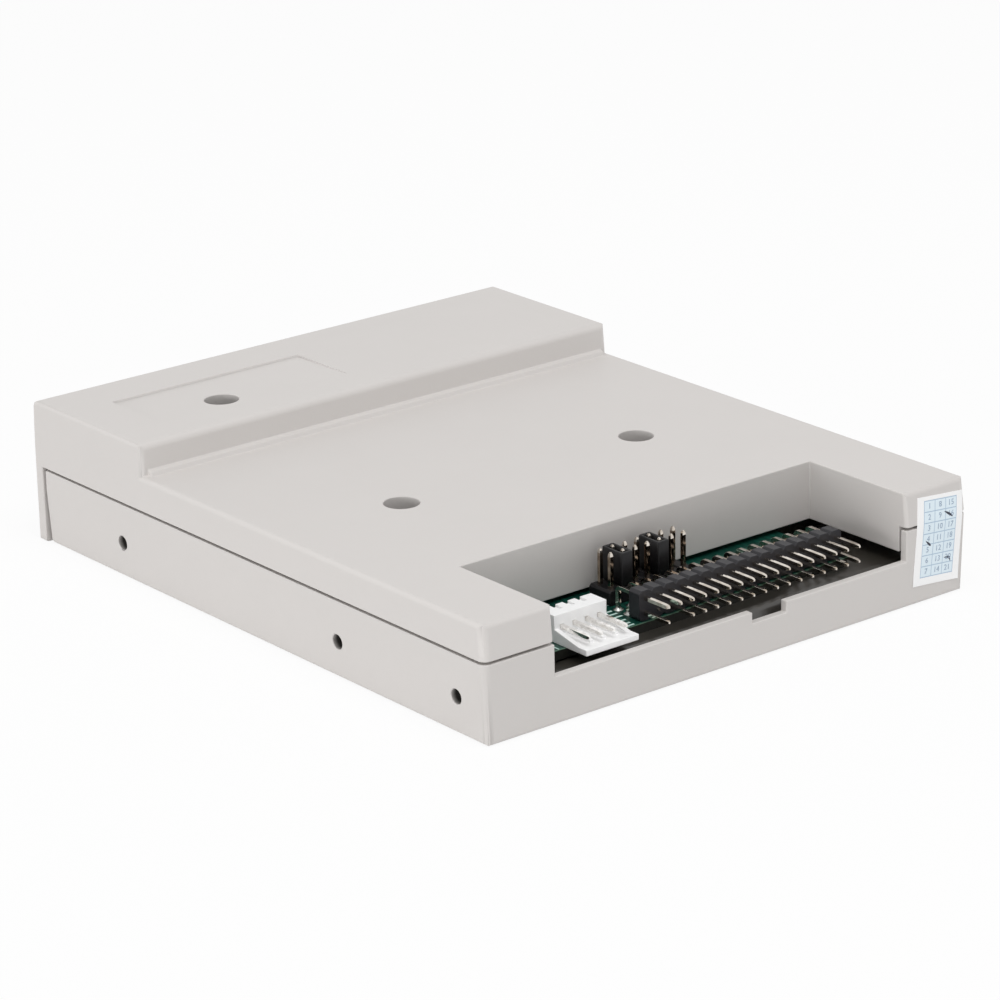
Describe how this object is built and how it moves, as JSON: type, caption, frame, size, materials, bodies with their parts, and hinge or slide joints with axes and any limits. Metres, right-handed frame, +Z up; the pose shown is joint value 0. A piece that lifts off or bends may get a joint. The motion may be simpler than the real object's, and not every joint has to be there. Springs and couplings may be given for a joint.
{
  "type": "floppy drive emulator",
  "caption": "Flat two-shell drive-bay case with a raised front, USB socket, digit display and push buttons, and a rear bay with a pin header, jumper block and power inlet.",
  "frame": {"origin": "on the resting plane, below the middle of the case", "axes": "+Z up, -Y towards the front panel, +Y towards the rear connectors"},
  "size_m": [0.1016, 0.1231, 0.025],
  "materials": {
    "shell": "fine moulded texture, warm light grey",
    "screw_steel": "zinc plated",
    "sheet_black": "smooth black film",
    "sticker_paper": "white paper with a pale blue grid",
    "board_green": "dark green solder mask",
    "header_black": "moulded black",
    "pin_tin": "bright tin plating",
    "cap_black": "moulded black",
    "clip_brass": "plain brass",
    "nylon_white": "natural white nylon",
    "usb_steel": "plated sheet",
    "window_red": "clear red tint",
    "display_black": "moulded black",
    "digit_white": "milky resin",
    "button_grey": "satin dark grey",
    "plunger_cream": "plain",
    "lamp_green": "tinted resin",
    "chip_black": "moulded epoxy",
    "can_metal": "drawn can"
  },
  "bodies": {
    "case": {"top_shell": "shell", "bottom_shell": "shell", "cover_screws": "screw_steel", "board_screws": "screw_steel", "insulating_sheet": "sheet_black", "seam_sticker": "sticker_paper", "main_board": "board_green", "header_body": "header_black", "header_pins": "pin_tin", "jumper_base": "header_black", "jumper_pins": "pin_tin", "power_housing": "nylon_white", "power_pins": "pin_tin", "usb_shell": "usb_steel", "usb_tongue": "nylon_white", "usb_contacts": "clip_brass", "display_window": "window_red", "display_body": "display_black", "display_digits": "digit_white", "display_pins": "pin_tin", "switch_bodies": "display_black", "activity_lamp": "lamp_green", "lamp_legs": "pin_tin", "mcu_body": "chip_black", "mcu_leads": "pin_tin", "crystal_can": "can_metal", "regulator_body": "chip_black", "regulator_tabs": "pin_tin", "capacitor_cans": "can_metal", "capacitor_bases": "chip_black", "buffer_chips": "chip_black", "buffer_leads": "pin_tin", "chip_resistors": "chip_black"},
    "button_up": {"button_cap_up": "button_grey", "switch_plunger_up": "plunger_cream"},
    "button_down": {"button_cap_down": "button_grey", "switch_plunger_down": "plunger_cream"},
    "cap_a": {"jumper_cap_a": "cap_black", "jumper_clip_a": "clip_brass"},
    "cap_b": {"jumper_cap_b": "cap_black", "jumper_clip_b": "clip_brass"}
  },
  "joints": [
    {"name": "button_up_press", "type": "slide", "parent": "case", "child": "button_up", "axis": [0, 1, 0], "range_m": [0, 0.0005], "stiffness_N_per_m": 500, "springref_m": -0.0005},
    {"name": "button_down_press", "type": "slide", "parent": "case", "child": "button_down", "axis": [0, 1, 0], "range_m": [0, 0.0005], "stiffness_N_per_m": 500, "springref_m": -0.0005},
    {"name": "cap_a_lift", "type": "slide", "parent": "case", "child": "cap_a", "axis": [0, 0, 1], "range_m": [0, 0.008]},
    {"name": "cap_b_lift", "type": "slide", "parent": "case", "child": "cap_b", "axis": [0, 0, 1], "range_m": [0, 0.008]}
  ]
}
